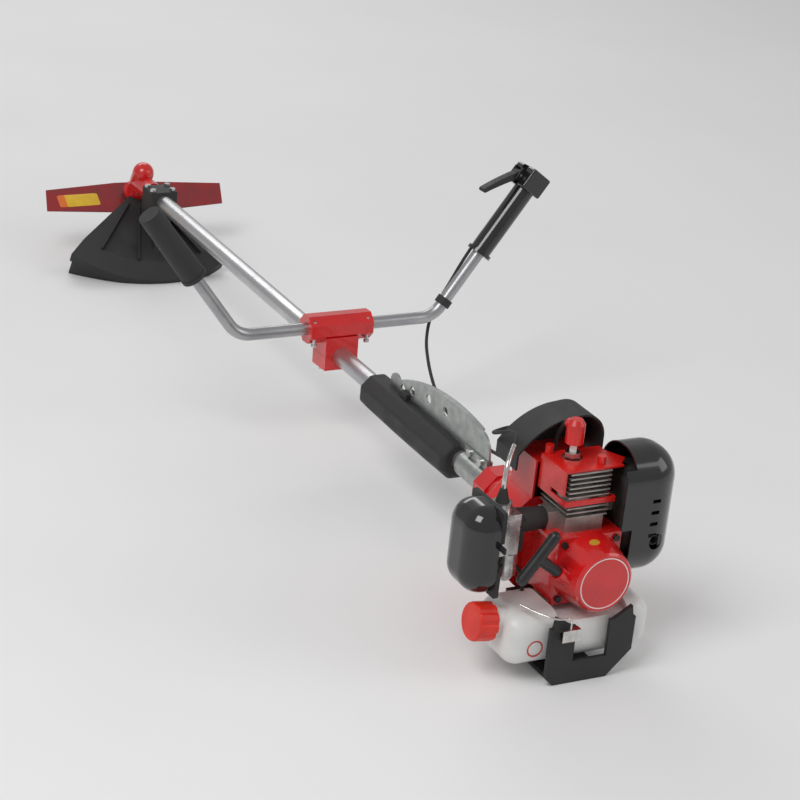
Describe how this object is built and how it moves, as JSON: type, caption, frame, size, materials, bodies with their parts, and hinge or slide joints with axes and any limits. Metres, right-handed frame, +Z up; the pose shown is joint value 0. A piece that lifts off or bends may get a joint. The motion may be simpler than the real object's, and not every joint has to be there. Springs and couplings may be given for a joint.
{
  "type": "brush cutter",
  "caption": "Two-stroke brush cutter: engine on a tank stand, straight shaft with bicycle handlebar, angled gear head, two-tooth metal blade under a fan-shaped guard.",
  "frame": {"origin": "on the ground under the crank axis, in the middle of the tank stand's base", "axes": "+Y forward along the shaft towards the blade, +X to the operator's right, +Z up"},
  "size_m": [0.664, 1.664, 0.4067],
  "materials": {
    "red_paint": "bright gloss red",
    "blade_paint": "dark gloss red",
    "black_gloss": "gloss black",
    "black_matte": "matt black",
    "black_rubber": "matt black rubber",
    "red_plastic": "satin red",
    "clear_white": "milky translucent white",
    "cast_alloy": "as cast, warm grey",
    "satin_tube": "satin drawn tube",
    "zinc_steel": "galvanised",
    "bright_steel": "bright plated",
    "plain_steel": "machined steel",
    "dark_steel": "black heat-proof paint",
    "white_ceramic": "glazed white",
    "filter_foam": "open foam",
    "pad_foam": "skinned foam"
  },
  "bodies": {
    "machine": {"starter_cover": "red_paint", "recoil_spring": "plain_steel", "crankcase": "red_paint", "piston_and_rod": "cast_alloy", "cylinder": "cast_alloy", "spark_plug": "white_ceramic", "spark_plug_cap": "red_plastic", "ignition_coil": "black_rubber", "cylinder_shroud": "red_plastic", "fan_housing": "red_paint", "clutch_housing": "red_paint", "top_hood": "black_matte", "intake_insulator": "black_rubber", "carburettor": "cast_alloy", "cable_guide_tube": "bright_steel", "air_cleaner_cover": "black_gloss", "air_filter_plate": "black_matte", "air_filter_foam": "filter_foam", "muffler": "dark_steel", "muffler_cover": "black_gloss", "fuel_tank": "clear_white", "tank_stand": "black_matte", "fuel_hose": "black_rubber", "tank_clip": "bright_steel", "shaft_tube": "satin_tube", "shaft_bushes": "black_rubber", "hanger_plate": "zinc_steel", "hanger_clamp": "zinc_steel", "hip_pad": "pad_foam", "handle_clamp_base": "red_paint", "handle_clamp_caps": "red_paint", "left_handlebar": "satin_tube", "right_handlebar": "satin_tube", "left_grip": "black_rubber", "right_grip": "black_rubber", "plastic_clips": "black_matte", "throttle_housing": "black_gloss", "throttle_cable": "black_rubber", "gear_head": "red_paint", "ball_bearings": "bright_steel", "guard": "black_matte", "guard_flap": "black_matte", "guard_bracket": "black_matte", "screws_and_bolts": "bright_steel"},
    "crank": {"crankshaft": "plain_steel", "flywheel": "cast_alloy", "clutch_shoes": "plain_steel"},
    "drive_line": {"clutch_drum": "plain_steel", "drive_shaft": "plain_steel", "bevel_pinion": "plain_steel"},
    "blade_spindle": {"output_spindle": "plain_steel", "blade_clamp": "plain_steel", "blade": "blade_paint"},
    "pull_grip": {"pull_handle": "black_matte"},
    "rope_pulley": {"starter_pulley": "black_matte"},
    "trigger": {"throttle_trigger": "black_gloss"},
    "switch": {"stop_switch": "black_gloss"},
    "choke": {"choke_lever": "black_matte"},
    "primer": {"primer_bulb": "clear_white"},
    "cap": {"fuel_cap": "red_plastic"}
  },
  "joints": [
    {"name": "crank_spin", "type": "hinge", "parent": "machine", "child": "crank", "pos_m": [0, 0.05, 0.133], "axis": [0, 1, 0], "continuous": true},
    {"name": "drive_spin", "type": "hinge", "parent": "machine", "child": "drive_line", "pos_m": [0, 0.5, 0.133], "axis": [0, 1, 0], "continuous": true},
    {"name": "blade_spin", "type": "hinge", "parent": "machine", "child": "blade_spindle", "pos_m": [0, 1.538, 0.133], "axis": [0, -0.5, 0.866], "continuous": true},
    {"name": "rope_pull", "type": "slide", "parent": "machine", "child": "pull_grip", "axis": [-0.8, 0, 0.6], "range_m": [0, 0.04], "stiffness_N_per_m": 60, "springref_m": -0.04},
    {"name": "pulley_turn", "type": "hinge", "parent": "machine", "child": "rope_pulley", "pos_m": [0, -0.04, 0.133], "axis": [0, 1, 0], "range_deg": [0, 100]},
    {"name": "throttle_squeeze", "type": "hinge", "parent": "machine", "child": "trigger", "pos_m": [0.29415, 0.7325, 0.39289], "axis": [0, -0.9986, 0.0523], "range_deg": [0, 26], "stiffness_Nm_per_rad": 0.3, "springref_deg": -17.19},
    {"name": "stop_slide", "type": "slide", "parent": "machine", "child": "switch", "axis": [0.5976, 0.042, 0.8007], "range_m": [0, 0.006]},
    {"name": "choke_turn", "type": "hinge", "parent": "machine", "child": "choke", "pos_m": [-0.128, 0.016, 0.179], "axis": [1, 0, 0], "range_deg": [0, 35]},
    {"name": "primer_press", "type": "slide", "parent": "machine", "child": "primer", "axis": [0, 0, 1], "range_m": [0, 0.004], "stiffness_N_per_m": 300, "springref_m": -0.001},
    {"name": "fuel_cap_turn", "type": "hinge", "parent": "machine", "child": "cap", "pos_m": [-0.122, -0.01, 0.073], "axis": [-0.9903, 0, 0.1392], "range_deg": [0, 270]}
  ],
  "couplings": [
    {"joint": "blade_spin", "follows": "drive_spin", "ratio": 0.73684},
    {"joint": "pulley_turn", "follows": "rope_pull", "rad_per_m": 43.103}
  ]
}
